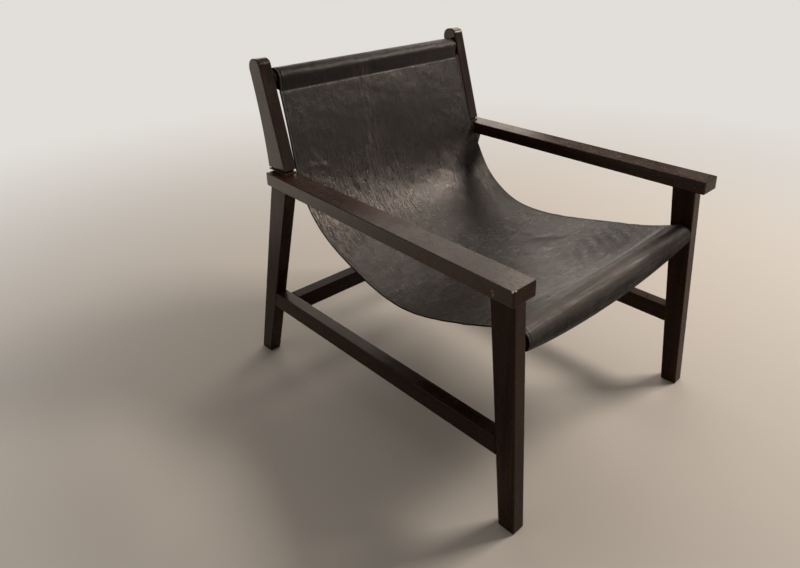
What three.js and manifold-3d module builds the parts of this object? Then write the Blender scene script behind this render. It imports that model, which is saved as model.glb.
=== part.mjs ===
// A lounge chair: a dark stained wooden frame with one sheet of leather slung between two rails.
// Millimetres, +Z up. The chair faces -Y, and left and right are the sitter's own, so left is +X.
// Y is measured from the front ends of the arms, and the whole chair is then centred on its origin.
import * as THREE from 'three';
import { mergeVertices } from 'three/addons/utils/BufferGeometryUtils.js';
import Module from 'manifold-3d';

const wasm = await Module();
wasm.setup();

// Stock, edges and fits
const STOCK = 28; // thickness along X of legs and side stretchers
const EASE = 1.8; // eased long edges
const CORNER = 3; // radius of the small outline corners
const FIT = 0.25; // clearance round dowels and tenons, and at the slanted butt joints

// Side frames
const FRAME_HALF = 310.5; // centre of the chair to the outer face of the legs
const ARM_TOP = 504;
const ARM_THICK = 28.5;
const ARM_LENGTH = 695;
const ARM_WIDTH_FRONT = 56; // the inner edge is flush with the front leg there
const ARM_WIDTH_REAR = 48;
const ARM_REAR_LAP = 9.5; // how far the rear inner edge passes the leg's inner face

const FRONT_LEG_SETBACK = 18.5; // arm end to the leg's front face, at the top
const FRONT_LEG_TOP = 51.5; // depth under the arm
const FRONT_LEG_FOOT = 36; // depth on the floor
const FRONT_TOE = 3; // how far the foot reaches in front of the arm end

const REAR_LEG_TOP = 56;
const REAR_LEG_FOOT = 36;
const REAR_RAKE = 123; // how far the heel lies behind the arm's rear end

// Stretchers
const STRETCHER_TOP = 190;
const STRETCHER_HIGH = 38.5;
const REAR_STRETCHER_HIGH = 37;
const REAR_STRETCHER_DEEP = 33;
const REAR_STRETCHER_SETBACK = 23; // arm's rear end to the front face of the rear stretcher

// Back uprights and the spacers that they stand on
const UPRIGHT_THICK = 29.5; // along X
const UPRIGHT_EDGE = 0.8; // arm's rear inner edge to the upright's inner face
const UPRIGHT_EASE = 2.6;
const UPRIGHT_TOP = 739;
const UPRIGHT_TOP_DEEP = 38;
const UPRIGHT_LEAN = 62.5; // how far the front edge leans back from foot to top
const UPRIGHT_FOOT_FRONT = 46; // arm's rear end forward to the front of the foot
const UPRIGHT_FOOT_OVERHANG = 15.5; // and back to the heel of the foot
const UPRIGHT_LIFT = 8; // arm top to the front of the foot
const UPRIGHT_HEEL_LIFT = 5.5; // arm top to the heel of the foot
const UPRIGHT_BOW = 11; // how far the rear edge is hollowed
const UPRIGHT_TOP_FRONT_R = 13;
const UPRIGHT_TOP_REAR_R = 23;
const SPACER_PLATE = 2.8;
const SPACER_INSET = 0.6; // the plate lies this far inside the upright's faces
const SPACER_RECESS = 4.2; // and the wedge on it this far

// Rails
const TOP_RAIL_R = 19;
const TOP_RAIL_DROP = 26; // upright's top to the rail's top
const TOP_RAIL_REVEAL = 1.2; // upright's front edge to the rail's front, at mid height
const FRONT_RAIL_R = 19;
const FRONT_RAIL_Z = 378;
const FRONT_RAIL_REVEAL = 0.3; // leg's front face to the rail
const TENON_R = 10;
const TENON_LONG = 16;

// Dowels
const DOWEL_R = 4;
const DOWEL_CHAMFER = 1;
const ARM_DOWEL_UP = 20; // into the arm
const ARM_DOWEL_DOWN = 25; // into the leg
const UPRIGHT_DOWEL_UP = 34; // above the arm, through the spacer and into the upright
const SIDE_DOWEL_IN_LEG = 16;
const SIDE_DOWEL_IN_RAIL = 22;
const DOWEL_STEP = 20; // distance between the two dowels of a joint
const LOW_DOWEL_STEP = 15; // the same in the stretchers

// The leather sling
const LEATHER = 2.8;
const SLEEVE_GAP = 0.4; // rail to leather, and leather to its own folded margin
const SLING_CLEAR_TOP = 9.3; // sling's edge to the upright's inner face
const SLING_CLEAR_FRONT = 2.5; // sling's edge to the front leg's inner face
const SEAM_BELOW_RAIL = 4; // top rail's lower edge to the seam
const SEAM_BEHIND_RAIL = 18; // from where the seat leaves the front rail to the seam
const MARGIN = 12; // sewn margin past each seam
const FOLD_R = 2.2; // bend where the sleeve turns into its margin
const BACK_SLOPE = 18; // degrees from plumb where the back leaves its rail
const BACK_REACH = 223; // how far the back keeps towards that slope
const SEAT_SLOPE = 20; // degrees of fall where the seat leaves the front rail
const SEAT_REACH = 632;
const BELLY = 22; // sag of the middle below the edges
const SLEEVE_DROOP = 24; // how far the loose front sleeve hangs in the middle

// Finishes
const WOOD = new THREE.MeshStandardMaterial({ color: 0x231a15, roughness: 0.42, metalness: 0 });
const BARE_WOOD = new THREE.MeshStandardMaterial({ color: 0xa98d66, roughness: 0.8, metalness: 0 });
const HIDE = new THREE.MeshStandardMaterial({ color: 0x1d1c1b, roughness: 0.5, metalness: 0 });

// Levels and places worked out from the values above
const armBottom = ARM_TOP - ARM_THICK;
const frameInner = FRAME_HALF - STOCK;
const legMid = FRAME_HALF - STOCK / 2;
const armRearInner = frameInner - ARM_REAR_LAP;
const uprightInner = armRearInner + UPRIGHT_EDGE;
const uprightOuter = uprightInner + UPRIGHT_THICK;
const uprightMid = uprightInner + UPRIGHT_THICK / 2;
const heelY = ARM_LENGTH + REAR_RAKE;

// A straight edge in the side view, as a function that gives Y at a height
const edge = (yLow, zLow, yHigh, zHigh) => (z) => yLow + ((yHigh - yLow) * (z - zLow)) / (zHigh - zLow);

const frontLeg = {
  front: edge(-FRONT_TOE, 0, FRONT_LEG_SETBACK, armBottom),
  rear: edge(FRONT_LEG_FOOT - FRONT_TOE, 0, FRONT_LEG_SETBACK + FRONT_LEG_TOP, armBottom),
};
const rearLeg = {
  front: edge(heelY - REAR_LEG_FOOT, 0, ARM_LENGTH - REAR_LEG_TOP, armBottom),
  rear: edge(heelY, 0, ARM_LENGTH, armBottom),
};
const footFront = { y: ARM_LENGTH - UPRIGHT_FOOT_FRONT, z: ARM_TOP + UPRIGHT_LIFT };
const footHeel = { y: ARM_LENGTH + UPRIGHT_FOOT_OVERHANG, z: ARM_TOP + UPRIGHT_HEEL_LIFT };
const uprightFront = edge(footFront.y, footFront.z, footFront.y + UPRIGHT_LEAN, UPRIGHT_TOP);
const footLine = (y) => footFront.z + ((footHeel.z - footFront.z) * (y - footFront.y)) / (footHeel.y - footFront.y);

const topRailZ = UPRIGHT_TOP - TOP_RAIL_DROP - TOP_RAIL_R;
const topRailY = uprightFront(topRailZ) + TOP_RAIL_REVEAL + TOP_RAIL_R;
const frontRailY = frontLeg.front(FRONT_RAIL_Z) + FRONT_RAIL_REVEAL + FRONT_RAIL_R;

// Outlines

// A closed outline through corner points [a, b, radius], anticlockwise; a radius of 0 leaves the corner sharp
function cornered(points) {
  const shape = new THREE.Shape();
  const to = (from, at) => new THREE.Vector2(at[0] - from[0], at[1] - from[1]).normalize();
  points.forEach((here, i) => {
    const [a, b, r] = here;
    const back = to(here, points[(i + points.length - 1) % points.length]);
    const on = to(here, points[(i + 1) % points.length]);
    if (r === 0 && i === 0) {
      shape.moveTo(a, b);
    } else if (r === 0) {
      shape.lineTo(a, b);
    } else {
      const half = Math.acos(back.dot(on)) / 2;
      const middle = back.clone().add(on).setLength(r / Math.sin(half)).add(new THREE.Vector2(a, b));
      const reach = r / Math.tan(half);
      const first = new THREE.Vector2(a, b).addScaledVector(back, reach).sub(middle).angle();
      const last = new THREE.Vector2(a, b).addScaledVector(on, reach).sub(middle).angle();
      if (i === 0) shape.moveTo(middle.x + r * Math.cos(first), middle.y + r * Math.sin(first));
      shape.absarc(middle.x, middle.y, r, first, last, false);
    }
  });
  shape.closePath();
  return shape;
}

function rounded(a, b, wide, high, r) {
  return cornered([
    [a - wide / 2, b - high / 2, r],
    [a + wide / 2, b - high / 2, r],
    [a + wide / 2, b + high / 2, r],
    [a - wide / 2, b + high / 2, r],
  ]);
}

// Solids

// Shape axes (a, b, depth) laid along the chair's (y, z, x)
const ACROSS = new THREE.Matrix4().makeBasis(
  new THREE.Vector3(0, 1, 0),
  new THREE.Vector3(0, 0, 1),
  new THREE.Vector3(1, 0, 0),
);

function board(shape, depth, { ease = EASE, segments = 5 } = {}) {
  const geometry = new THREE.ExtrudeGeometry(shape, {
    depth: depth - 2 * ease,
    curveSegments: segments,
    bevelEnabled: ease > 0,
    bevelThickness: ease,
    bevelSize: ease,
    bevelOffset: -ease,
    bevelSegments: 2,
  });
  return geometry.translate(0, 0, ease);
}

// A side-view outline made into a board that lies between two values of X
function sideBoard(shape, xLow, xHigh, options) {
  return board(shape, xHigh - xLow, options).applyMatrix4(ACROSS).translate(xLow, 0, 0);
}

// A round bar between two points, with chamfered ends
function bar(from, to, radius, chamfer, sides = 12) {
  const way = new THREE.Vector3().subVectors(to, from);
  const long = way.length();
  const profile = [
    new THREE.Vector2(0, 0),
    new THREE.Vector2(radius - chamfer, 0),
    new THREE.Vector2(radius, chamfer),
    new THREE.Vector2(radius, long - chamfer),
    new THREE.Vector2(radius - chamfer, long),
    new THREE.Vector2(0, long),
  ];
  const turn = new THREE.Quaternion().setFromUnitVectors(new THREE.Vector3(0, 1, 0), way.normalize());
  return new THREE.LatheGeometry(profile, sides).applyQuaternion(turn).translate(from.x, from.y, from.z);
}

// Joining and cutting

function solid(geometry) {
  const bare = geometry.clone();
  bare.deleteAttribute('normal');
  bare.deleteAttribute('uv');
  const merged = mergeVertices(bare, 1e-4);
  const corners = merged.index.array;
  const faces = [];
  for (let i = 0; i < corners.length; i += 3) {
    const [a, b, c] = corners.slice(i, i + 3);
    if (a !== b && b !== c && c !== a) faces.push(a, b, c);
  }
  const mesh = new wasm.Mesh({
    numProp: 3,
    vertProperties: new Float32Array(merged.attributes.position.array),
    triVerts: new Uint32Array(faces),
  });
  return new wasm.Manifold(mesh);
}

function surface(manifold) {
  const mesh = manifold.getMesh();
  const geometry = new THREE.BufferGeometry();
  geometry.setAttribute('position', new THREE.BufferAttribute(new Float32Array(mesh.vertProperties), 3));
  geometry.setIndex(new THREE.BufferAttribute(new Uint32Array(mesh.triVerts), 1));
  return geometry;
}

const join = (first, ...rest) => surface(rest.reduce((whole, part) => whole.add(solid(part)), solid(first)));
const cut = (first, cutters) => surface(cutters.reduce((whole, part) => whole.subtract(solid(part)), solid(first)));

// The same piece on the other side of the chair
function mirrored(geometry) {
  const flipped = geometry.clone().scale(-1, 1, 1);
  if (!flipped.index) flipped.setIndex([...Array(flipped.attributes.position.count).keys()]);
  const order = flipped.index.array;
  for (let i = 0; i < order.length; i += 3) [order[i + 1], order[i + 2]] = [order[i + 2], order[i + 1]];
  return flipped;
}

// Dowels of the left side, each with the two points that it runs between
const point = (x, y, z) => new THREE.Vector3(x, y, z);

function pairAlong(name, middle, step, reach) {
  return ['front', 'rear'].map((end, i) => {
    const y = middle + (i - 0.5) * step;
    return { name: `${name}_dowel_${end}`, from: reach.from(y), to: reach.to(y) };
  });
}

function pairUp(name, middle, step, reach) {
  return ['lower', 'upper'].map((end, i) => {
    const z = middle + (i - 0.5) * step;
    return { name: `${name}_dowel_${end}`, from: reach.from(z), to: reach.to(z) };
  });
}

const legDowelX = legMid + STOCK / 9; // keeps clear of the upright's dowels
const uprightDowelX = uprightMid - STOCK / 9;
const armDowelTop = armBottom + ARM_DOWEL_UP;
const armDowelFoot = armBottom - ARM_DOWEL_DOWN;
const frontLegMid = (frontLeg.front(armDowelFoot) + frontLeg.rear(armDowelFoot)) / 2;
const rearLegMid = (rearLeg.front(armDowelFoot) + rearLeg.rear(armBottom)) / 2;
const uprightDowelMid = (uprightFront(ARM_TOP + UPRIGHT_DOWEL_UP) + ARM_LENGTH) / 2;
const stretcherMid = STRETCHER_TOP - STRETCHER_HIGH / 2;
const rearStretcherY = ARM_LENGTH - REAR_STRETCHER_SETBACK + REAR_STRETCHER_DEEP / 2;
const rearStretcherMid = STRETCHER_TOP - REAR_STRETCHER_HIGH / 2;

const dowels = [
  ...pairAlong('arm_front', frontLegMid, DOWEL_STEP, {
    from: (y) => point(legMid, y, armDowelFoot),
    to: (y) => point(legMid, y, armDowelTop),
  }),
  ...pairAlong('arm_rear', rearLegMid, DOWEL_STEP, {
    from: (y) => point(legDowelX, y, armDowelFoot),
    to: (y) => point(legDowelX, y, armDowelTop),
  }),
  ...pairAlong('upright', uprightDowelMid, DOWEL_STEP, {
    from: (y) => point(uprightDowelX, y, ARM_TOP - ARM_DOWEL_UP),
    to: (y) => point(uprightDowelX, y, ARM_TOP + UPRIGHT_DOWEL_UP),
  }),
  ...pairUp('stretcher_front', stretcherMid, LOW_DOWEL_STEP, {
    from: (z) => point(legMid, frontLeg.rear(z) - SIDE_DOWEL_IN_LEG, z),
    to: (z) => point(legMid, frontLeg.rear(z) + SIDE_DOWEL_IN_RAIL, z),
  }),
  ...pairUp('stretcher_rear', stretcherMid, LOW_DOWEL_STEP, {
    from: (z) => point(legMid, rearLeg.front(z) - SIDE_DOWEL_IN_RAIL, z),
    to: (z) => point(legMid, rearLeg.front(z) + SIDE_DOWEL_IN_LEG, z),
  }),
  ...pairUp('rear_stretcher', rearStretcherMid, LOW_DOWEL_STEP, {
    from: (z) => point(frameInner - SIDE_DOWEL_IN_RAIL, rearStretcherY, z),
    to: (z) => point(frameInner + SIDE_DOWEL_IN_LEG, rearStretcherY, z),
  }),
];

function dowelHole({ from, to }) {
  const way = new THREE.Vector3().subVectors(to, from).setLength(FIT);
  return bar(from.clone().sub(way), to.clone().add(way), DOWEL_R + FIT, 0.2);
}

// The two round rails, and the sockets that their tenons sit in

function rail(inner, y, z, radius) {
  const end = inner - FIT;
  const reach = inner + TENON_LONG;
  return join(
    bar(point(-end, y, z), point(end, y, z), radius, EASE, 32),
    bar(point(-reach, y, z), point(reach, y, z), TENON_R, 1, 20),
  );
}

function socket(inner, y, z) {
  return bar(point(inner - 1, y, z), point(inner + TENON_LONG + FIT, y, z), TENON_R + FIT, 0.2, 20);
}

const holes = [
  ...dowels.map(dowelHole),
  socket(uprightInner, topRailY, topRailZ),
  socket(frameInner, frontRailY, FRONT_RAIL_Z),
];

// Pieces of the left side

function legBoard({ front, rear }) {
  const outline = cornered([
    [front(0), 0, CORNER],
    [rear(0), 0, CORNER],
    [rear(armBottom), armBottom, 0],
    [front(armBottom), armBottom, 0],
  ]);
  return sideBoard(outline, frameInner, FRAME_HALF);
}

function arm() {
  const plan = cornered([
    [frameInner, 0, CORNER],
    [frameInner + ARM_WIDTH_FRONT, 0, CORNER],
    [armRearInner + ARM_WIDTH_REAR, ARM_LENGTH, CORNER],
    [armRearInner, ARM_LENGTH, CORNER],
  ]);
  return board(plan, ARM_THICK).translate(0, 0, armBottom);
}

// The front edge is straight, the rear edge slightly hollow, and the top is rounded off
function upright() {
  const topFront = uprightFront(UPRIGHT_TOP);
  const topRear = topFront + UPRIGHT_TOP_DEEP;
  const rearLow = new THREE.Vector2(footHeel.y, footHeel.z);
  const rearHigh = new THREE.Vector2(topRear, UPRIGHT_TOP - UPRIGHT_TOP_REAR_R);
  const hollow = rearLow.clone().lerp(rearHigh, 0.45);
  const shape = new THREE.Shape();
  shape.moveTo(footFront.y, footFront.z);
  shape.lineTo(footHeel.y, footHeel.z);
  shape.quadraticCurveTo(hollow.x - UPRIGHT_BOW, hollow.y, rearHigh.x, rearHigh.y);
  shape.quadraticCurveTo(topRear, UPRIGHT_TOP, topRear - UPRIGHT_TOP_REAR_R, UPRIGHT_TOP);
  shape.lineTo(topFront + UPRIGHT_TOP_FRONT_R, UPRIGHT_TOP);
  const shoulder = UPRIGHT_TOP - UPRIGHT_TOP_FRONT_R;
  shape.quadraticCurveTo(topFront, UPRIGHT_TOP, uprightFront(shoulder), shoulder);
  shape.closePath();
  return sideBoard(shape, uprightInner, uprightOuter, { ease: UPRIGHT_EASE, segments: 10 });
}

// A thin plate on the arm, and on it a wedge that is set back and gives the upright its rake
function spacer() {
  const seat = ARM_TOP + SPACER_PLATE;
  const plateFront = footFront.y + SPACER_INSET;
  const plateRear = footHeel.y - SPACER_INSET;
  const plate = rounded(
    (plateFront + plateRear) / 2,
    ARM_TOP + SPACER_PLATE / 2,
    plateRear - plateFront,
    SPACER_PLATE,
    0,
  );
  const wedgeFront = footFront.y + SPACER_RECESS;
  const wedgeRear = footHeel.y - SPACER_RECESS;
  const wedge = cornered([
    [wedgeFront, seat - SPACER_PLATE / 2, 0],
    [wedgeRear, seat - SPACER_PLATE / 2, 0],
    [wedgeRear, footLine(wedgeRear) - FIT, 0],
    [wedgeFront, footLine(wedgeFront) - FIT, 0],
  ]);
  return join(
    sideBoard(plate, uprightInner + SPACER_INSET, uprightOuter - SPACER_INSET, { ease: 0.4 }),
    sideBoard(wedge, uprightInner + SPACER_RECESS, uprightOuter - SPACER_RECESS, { ease: 0 }),
  );
}

function sideStretcher() {
  const low = STRETCHER_TOP - STRETCHER_HIGH;
  const outline = cornered([
    [frontLeg.rear(low) + FIT, low, 0],
    [rearLeg.front(low) - FIT, low, 0],
    [rearLeg.front(STRETCHER_TOP) - FIT, STRETCHER_TOP, 0],
    [frontLeg.rear(STRETCHER_TOP) + FIT, STRETCHER_TOP, 0],
  ]);
  return sideBoard(outline, frameInner, FRAME_HALF);
}

function rearStretcher() {
  const section = rounded(rearStretcherY, rearStretcherMid, REAR_STRETCHER_DEEP, REAR_STRETCHER_HIGH, 2.5);
  const end = frameInner - FIT;
  return sideBoard(section, -end, end);
}

// The sling

// Its middle line in the side view: up behind the top rail, over it, down the back, along the seat, over the
// front rail and back under it, with a sewn margin at each end. Each stretch has its count of steps.
function slingLine() {
  const off = SLEEVE_GAP + LEATHER / 2;
  const lap = LEATHER + SLEEVE_GAP;
  const vector = (y, z) => new THREE.Vector2(y, z);
  const turn = (degrees) => (degrees * Math.PI) / 180;
  const arc = (y, z, r, from, to, clockwise = false) =>
    new THREE.EllipseCurve(y, z, r, r, turn(from), turn(to), clockwise);

  const topR = TOP_RAIL_R + off;
  const seamTop = vector(topRailY - topR, topRailZ - TOP_RAIL_R - SEAM_BELOW_RAIL);
  const backWay = vector(-Math.sin(turn(BACK_SLOPE)), -Math.cos(turn(BACK_SLOPE)));
  const seatWay = vector(Math.cos(turn(SEAT_SLOPE)), -Math.sin(turn(SEAT_SLOPE)));
  const sleeveR = FRONT_RAIL_R + off;
  const leave = vector(
    frontRailY + sleeveR * Math.sin(turn(SEAT_SLOPE)),
    FRONT_RAIL_Z + sleeveR * Math.cos(turn(SEAT_SLOPE)),
  );
  const hang = new THREE.CubicBezierCurve(
    seamTop,
    seamTop.clone().addScaledVector(backWay, BACK_REACH),
    leave.clone().addScaledVector(seatWay, SEAT_REACH),
    leave,
  );
  const flapTop = seamTop.clone().add(vector(lap, 0));
  const marginTop = flapTop.clone().addScaledVector(backWay, MARGIN);
  const rise = vector(Math.sin(turn(SEAT_SLOPE)), Math.cos(turn(SEAT_SLOPE)));
  const frontSeam = leave.clone().addScaledVector(seatWay, SEAM_BEHIND_RAIL).addScaledVector(rise, -lap);
  const marginFront = frontSeam.clone().addScaledVector(seatWay, MARGIN);
  const foldMiddle = frontSeam.clone().addScaledVector(rise, -FOLD_R);
  const fold = foldMiddle.clone().addScaledVector(seatWay, -FOLD_R);
  const sleeveRear = vector(frontRailY + sleeveR, FRONT_RAIL_Z);

  return [
    [new THREE.LineCurve(marginTop, flapTop), 1],
    [new THREE.CubicBezierCurve(
      flapTop,
      flapTop.clone().add(vector(0, FOLD_R)),
      vector(topRailY - 3 * FOLD_R, topRailZ - topR),
      vector(topRailY, topRailZ - topR),
    ), 4],
    [arc(topRailY, topRailZ, topR, -90, 180), 18],
    [new THREE.LineCurve(vector(topRailY - topR, topRailZ), seamTop), 2],
    [hang, 18, 'hang'],
    [arc(frontRailY, FRONT_RAIL_Z, sleeveR, 90 - SEAT_SLOPE, 180), 6],
    [arc(frontRailY, FRONT_RAIL_Z, sleeveR, 180, 360), 8, 'droop'],
    [new THREE.CubicBezierCurve(
      sleeveRear,
      sleeveRear.clone().add(vector(0, 1.8 * FOLD_R)),
      fold.clone().addScaledVector(rise, -1.4 * FOLD_R),
      fold,
    ), 3],
    [arc(foldMiddle.x, foldMiddle.y, FOLD_R, 180 - SEAT_SLOPE, 90 - SEAT_SLOPE, true), 3],
    [new THREE.LineCurve(frontSeam, marginFront), 1],
  ];
}

// Points of the middle line with their normals, how far along the line they lie, and how much they sag
function slingRows() {
  const rows = [];
  for (const [curve, steps, part] of slingLine()) {
    for (let i = rows.length ? 1 : 0; i <= steps; i += 1) {
      const t = i / steps;
      const at = curve.getPointAt(t);
      const along = curve.getTangentAt(t);
      const belly = part === 'hang' ? BELLY * Math.sin(Math.PI * t) ** 2 : 0;
      const droop = part === 'droop' ? SLEEVE_DROOP * Math.sin(Math.PI * t) : 0;
      rows.push({ at, normal: new THREE.Vector2(along.y, -along.x), belly, droop });
    }
  }
  let run = 0;
  rows.forEach((row, i) => {
    if (i) run += row.at.distanceTo(rows[i - 1].at);
    row.run = run;
  });
  return rows;
}

// A sheet with a real thickness: two skins, and a rim that joins them
function sling() {
  const rows = slingRows();
  const total = rows.at(-1).run;
  const halfTop = uprightInner - SLING_CLEAR_TOP;
  const halfFront = frameInner - SLING_CLEAR_FRONT;
  const columns = 11;
  const vertices = [];
  for (const side of [1, -1]) {
    for (const row of rows) {
      const half = halfTop + ((halfFront - halfTop) * row.run) / total;
      for (let j = 0; j < columns; j += 1) {
        const u = (2 * j) / (columns - 1) - 1;
        const full = 1 - u * u;
        const off = (side * LEATHER) / 2 - row.belly * full;
        const y = row.at.x + row.normal.x * off;
        const z = row.at.y + row.normal.y * off - row.droop * full;
        vertices.push(u * half, y, z);
      }
    }
  }
  const count = rows.length;
  const index = [];
  const at = (skin, i, j) => (skin * count + i) * columns + j;
  const quad = (a, b, c, d) => index.push(a, b, c, a, c, d);
  for (let i = 0; i < count - 1; i += 1) {
    for (let j = 0; j < columns - 1; j += 1) {
      quad(at(0, i, j), at(0, i + 1, j), at(0, i + 1, j + 1), at(0, i, j + 1));
      quad(at(1, i, j), at(1, i, j + 1), at(1, i + 1, j + 1), at(1, i + 1, j));
    }
    quad(at(0, i, 0), at(1, i, 0), at(1, i + 1, 0), at(0, i + 1, 0));
    const last = columns - 1;
    quad(at(0, i, last), at(0, i + 1, last), at(1, i + 1, last), at(1, i, last));
  }
  for (let j = 0; j < columns - 1; j += 1) {
    quad(at(0, 0, j), at(0, 0, j + 1), at(1, 0, j + 1), at(1, 0, j));
    const end = count - 1;
    quad(at(0, end, j), at(1, end, j), at(1, end, j + 1), at(0, end, j + 1));
  }
  const geometry = new THREE.BufferGeometry();
  geometry.setAttribute('position', new THREE.BufferAttribute(new Float32Array(vertices), 3));
  geometry.setIndex(index);
  return geometry;
}

// The assembly
function named(name, geometry, material) {
  geometry.computeVertexNormals();
  const mesh = new THREE.Mesh(geometry, material);
  mesh.name = name;
  return mesh;
}

const frame = new THREE.Group();

const sidePieces = {
  front_leg: legBoard(frontLeg),
  rear_leg: legBoard(rearLeg),
  arm: arm(),
  upright: upright(),
  upright_spacer: spacer(),
  side_stretcher: sideStretcher(),
};
for (const [name, bare] of Object.entries(sidePieces)) {
  const drilled = cut(bare, holes);
  frame.add(named(`left_${name}`, drilled, WOOD));
  frame.add(named(`right_${name}`, mirrored(drilled), WOOD));
}
for (const { name, from, to } of dowels) {
  const pin = bar(from, to, DOWEL_R, DOWEL_CHAMFER);
  frame.add(named(`left_${name}`, pin, BARE_WOOD));
  frame.add(named(`right_${name}`, mirrored(pin), BARE_WOOD));
}
frame.add(named('rear_stretcher', cut(rearStretcher(), [...holes, ...holes.map(mirrored)]), WOOD));
frame.add(named('top_rail', rail(uprightInner, topRailY, topRailZ, TOP_RAIL_R), WOOD));
frame.add(named('front_rail', rail(frameInner, frontRailY, FRONT_RAIL_Z, FRONT_RAIL_R), WOOD));

const leather = new THREE.Group();
leather.add(named('leather_sling', sling(), HIDE));

const chair = new THREE.Group();
chair.add(frame, leather);
const footprint = new THREE.Box3().setFromObject(frame).getCenter(new THREE.Vector3());
frame.position.y = -footprint.y;
leather.position.y = -footprint.y;

export default chair;
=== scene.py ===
import math

import bpy
import numpy as np
from mathutils import Matrix, Vector


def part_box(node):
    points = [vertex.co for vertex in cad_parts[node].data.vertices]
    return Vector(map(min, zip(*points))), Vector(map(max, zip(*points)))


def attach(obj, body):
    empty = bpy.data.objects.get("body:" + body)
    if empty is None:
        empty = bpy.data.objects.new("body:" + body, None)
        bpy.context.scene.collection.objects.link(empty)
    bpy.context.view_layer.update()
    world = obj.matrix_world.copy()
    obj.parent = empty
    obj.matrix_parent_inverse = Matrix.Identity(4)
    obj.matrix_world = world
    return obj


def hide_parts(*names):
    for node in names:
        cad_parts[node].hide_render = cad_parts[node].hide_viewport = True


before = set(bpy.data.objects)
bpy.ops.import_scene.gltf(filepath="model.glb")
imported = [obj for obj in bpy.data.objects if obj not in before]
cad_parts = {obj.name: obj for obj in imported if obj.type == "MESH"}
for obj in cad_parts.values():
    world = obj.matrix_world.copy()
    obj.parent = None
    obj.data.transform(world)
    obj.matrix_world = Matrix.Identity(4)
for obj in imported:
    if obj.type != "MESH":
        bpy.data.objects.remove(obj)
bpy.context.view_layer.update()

# The frame's own places, in metres. The chair faces -Y and the sitter's left is +X.
ARM_FRONT_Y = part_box("left_arm")[0][1]
MM = 0.001

# Camera, as it stood when the chair was photographed, in pixels, millimetres and radians
PICTURE = (800, 568)
FOCAL_PX = 677.7
OPTICAL_CENTRE = (442.56, 201.30)
CAMERA_PLACE = (-1019.3, -529.5, 1009.1)
CAMERA_YAW = 0.78957
CAMERA_PITCH = 0.39863

# Sling, in millimetres, with Y counted from the front ends of the arms
LEATHER = 2.8
SLEEVE_GAP = 0.4
HALF_TOP = 264.5
HALF_FRONT = 280.0
RAIL_R = 19.0
TOP_RAIL = (719.31, 694.0)
FRONT_RAIL = (33.39, 378.0)
SEAM_TOP = 671.0
SEAM_FRONT = 18.0
MARGIN = 12.0
FOLD_R = 2.2
BACK_LEAN = math.radians(18.0)
FRONT_FALL = math.radians(20.0)
HEM = 6.5

# Rows and columns of the sheet: counts, and steps in millimetres, which are finer at seams and hems
MARGIN_ROWS = 7
ROW_STEP = 5.0
FINER_AT_SEAM = 3.6
TOP_SEAM_ZONE = 16.0
FRONT_SEAM_ZONE = 26.0
COLUMN_STEP = 0.35
COARSER_INSIDE = 4.7
HEM_ZONE = 14.0
HEM_COLUMNS = 60
HEM_END_ROWS = 2
EDGE_POINTS = 1200
CREASE_POINTS = 60

# Extra half-width of the right and left edges where the hide has spread, in millimetres:
# most, at which place along the sheet, over what length
SPREAD_RIGHT = (3.2, 345.0, 130.0)
SPREAD_LEFT = (9.0, 415.0, 75.0)

# How the hide has given, in millimetres: sag of its middle, dip behind the front seam, stretched front sleeve
BELLY = 22.0
DIP = 10.0
DIP_START = 16.0
DIP_LENGTH_LEFT = 26.0
DIP_LENGTH_RIGHT = 70.0
DIP_REACH = 230.0
DROOP = 26.0
SLEEVE_FORWARD = 2.5

# Where the front sleeve hangs, in degrees round its rail from the rear: from here, over this much
HANG_FROM = 172
HANG_OVER = 188

# Unevenness, in millimetres: slow waves, fine ripples across the seat, rucks at the ends of the sleeves
WAVE = 1.3
RIPPLE = 0.55
RIPPLE_LENGTH = 4.6
RIPPLE_WAY = (0.62, 0.78)
RUCK = 0.5
RUCK_PITCH = 6.5
RUCK_REACH = 16.0

# Where the hide is free to be uneven: shares of the way down, then distances behind the front rail
FREE_FROM_TOP = (0.0, 0.06)
FREE_FROM_RAIL = (30.0, 75.0)
RIPPLED_FROM_TOP = (0.36, 0.6)
RIPPLED_FROM_RAIL = (30.0, 120.0)

# What sewing does beside its lines, in millimetres: height and half-width of each groove and roll
HEM_GROOVE = (-0.5, 1.1)
TOP_GROOVE = (-0.5, 1.3)
TOP_ROLL = (0.4, 2.2)
FRONT_GROOVE = (-0.9, 1.5)
FRONT_ROLL = (0.5, 2.5)
ROLL_AWAY = 3.0

# Thread, in metres, and how far from the fold it is sewn in, in millimetres
STITCH_PITCH = 0.005
STITCH_LENGTH = 0.0042
STITCH_THICKNESS = 0.0009
STITCH_UNEVENNESS = 0.12
STITCH_SEED = 7
SEWN_IN = 2.5

# Each long edge of the sling hangs a little differently. Points (y, z) from the top seam to the front rail.
RIGHT_EDGE = [
    (698.5, 671.0), (669, 565), (634, 457), (580, 391), (485, 342),
    (390, 315), (325, 309.5), (215, 331), (92, 375), (40.5, 397.5),
]
LEFT_EDGE = [
    (698.5, 671.0), (667, 577), (638, 491), (592, 396), (537, 351.5),
    (482, 327), (426, 320), (310, 331.5), (197, 354), (84, 381), (40.5, 397.5),
]

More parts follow.
